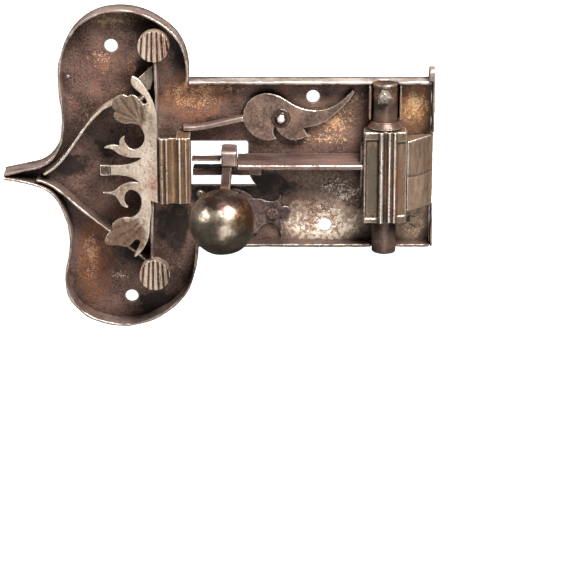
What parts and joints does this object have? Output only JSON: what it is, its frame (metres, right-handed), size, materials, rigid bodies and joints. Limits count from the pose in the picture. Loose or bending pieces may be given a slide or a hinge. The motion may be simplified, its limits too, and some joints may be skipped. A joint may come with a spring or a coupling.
{
  "type": "furniture lock",
  "caption": "Hand-forged furniture lock: heart-shaped plate with a rim, ball-handled swinging latch, sprung catch with an acanthus leaf, and a small turning lever.",
  "frame": {"origin": "on the plate's back face, below the middle of the latch's axle", "axes": "+Z out of the plate's front, +X along the lock towards the forend, +Y towards the body's top edge"},
  "size_m": [0.2098, 0.1592, 0.0678],
  "materials": {
    "plate_iron": "wrought iron with a brown rust patina",
    "rim_iron": "wrought iron strip, brown patina, edges worn bright",
    "latch_iron": "filed wrought iron, brown patina",
    "worn_iron": "filed iron worn bright on its ridges",
    "leaf_steel": "filed steel, light grey with brown stains",
    "ball_steel": "polished by handling, brown stains"
  },
  "bodies": {
    "case": {"back_plate": "plate_iron", "rim_upper": "rim_iron", "rim_lower": "rim_iron", "flange_top": "rim_iron", "flange_bottom": "rim_iron", "forend": "rim_iron", "stud_upper": "worn_iron", "stud_lower": "worn_iron", "bow_spring": "rim_iron", "brace_upper": "rim_iron", "brace_lower": "rim_iron", "cradle": "plate_iron", "axle": "latch_iron", "axle_collar": "latch_iron", "axle_nail": "worn_iron", "palmette": "plate_iron", "palmette_boss": "plate_iron", "knob_rivet": "worn_iron", "lever_rivet": "worn_iron"},
    "latch": {"knuckle": "worn_iron", "nose_leaf": "worn_iron", "latch_bar": "latch_iron", "knob_collar": "latch_iron", "upper_prong": "latch_iron", "lower_prong": "latch_iron", "knob_stem": "latch_iron", "knob_ball": "ball_steel"},
    "catch": {"catch_block": "worn_iron", "acanthus_plate": "leaf_steel", "catch_rivet": "plate_iron", "catch_foot": "plate_iron"},
    "lever": {"lever_leaf": "latch_iron", "lever_arm": "latch_iron"}
  },
  "joints": [
    {"name": "latch_swing", "type": "hinge", "parent": "case", "child": "latch", "pos_m": [0, 0, 0.012], "axis": [0, 1, 0], "range_deg": [0, 15]},
    {"name": "catch_slide", "type": "slide", "parent": "case", "child": "catch", "axis": [-1, 0, 0], "range_m": [0, 0.003], "stiffness_N_per_m": 2000, "springref_m": -0.001},
    {"name": "lever_turn", "type": "hinge", "parent": "case", "child": "lever", "pos_m": [-0.0504, 0.0226, 0.005], "axis": [0, 0, -1], "range_deg": [0, 12]}
  ]
}
